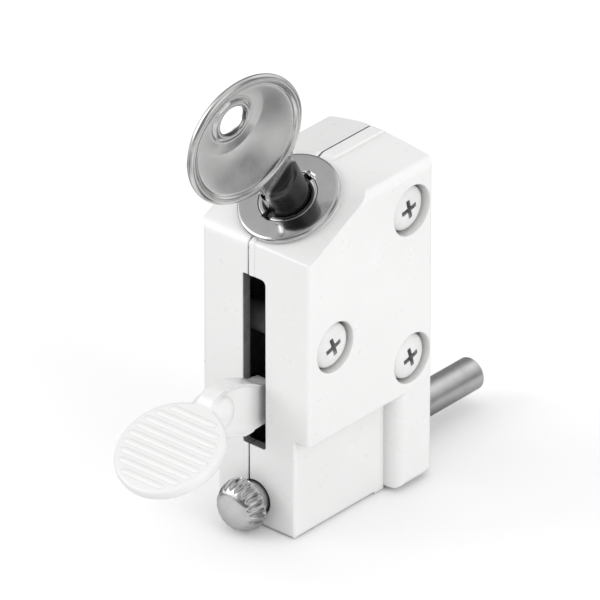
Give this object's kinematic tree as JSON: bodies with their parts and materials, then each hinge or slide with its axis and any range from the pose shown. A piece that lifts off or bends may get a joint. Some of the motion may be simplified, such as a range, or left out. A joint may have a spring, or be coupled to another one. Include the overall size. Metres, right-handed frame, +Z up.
{
  "type": "sliding door bolt lock",
  "caption": "Keyed step-on bolt lock for a sliding door: a foot pedal in the front slot throws a steel bolt out of the back, and a key in the slanted top releases it.",
  "frame": {"origin": "on the mechanism centre plane, at the front face and level with the underside of the case", "axes": "+Z up, +Y along the bolt out of the back of the case, +X toward the case screws, so the face that lies against the door is at -X"},
  "size_m": [0.0324, 0.1154, 0.1154],
  "materials": {
    "white_paint": "gloss white enamel on zinc die casting",
    "screw_paint": "white painted steel",
    "steel": "satin zinc-plated steel",
    "chrome": "polished chrome plate",
    "nickel": "nickel plate, lightly worn",
    "spring_steel": "drawn spring wire"
  },
  "bodies": {
    "case": {"housing_left": "white_paint", "housing_right": "white_paint", "screw_top": "screw_paint", "screw_front": "screw_paint", "screw_low": "screw_paint", "pivot_pin": "steel", "pawl_pin": "steel", "cylinder_body": "chrome", "cylinder_nut": "steel"},
    "lever": {"pedal_lever": "white_paint", "return_spring": "spring_steel"},
    "bolt": {"bolt": "steel", "drive_pin": "steel", "bolt_knob": "chrome"},
    "pawl": {"pawl": "steel", "pawl_spring": "spring_steel"},
    "plug": {"plug": "nickel", "cam": "steel", "cam_screw": "steel"},
    "key": {"key_barrel": "nickel", "key_bow": "nickel"}
  },
  "joints": [
    {"name": "pedal_swing", "type": "hinge", "parent": "case", "child": "lever", "pos_m": [0, 0.0216, 0.04], "axis": [-1, 0, 0], "range_deg": [0, 45.2]},
    {"name": "bolt_throw", "type": "slide", "parent": "case", "child": "bolt", "axis": [0, 1, 0], "range_m": [-0.02801, 0]},
    {"name": "pawl_tip", "type": "hinge", "parent": "case", "child": "pawl", "pos_m": [0, 0.035, 0.05], "axis": [-1, 0, 0], "range_deg": [0, 25.01]},
    {"name": "key_turn", "type": "hinge", "parent": "case", "child": "plug", "pos_m": [0.0003, 0.0116, 0.07795], "axis": [0, 0.4848, -0.8746], "range_deg": [0, 90]},
    {"name": "key_withdraw", "type": "slide", "parent": "plug", "child": "key", "axis": [0, -0.4848, 0.8746], "range_m": [0, 0.02]}
  ],
  "couplings": [
    {"joint": "bolt_throw", "follows": "pedal_swing", "m_per_rad": -0.035493},
    {"joint": "pawl_tip", "follows": "pedal_swing", "ratio": 0.5531}
  ]
}
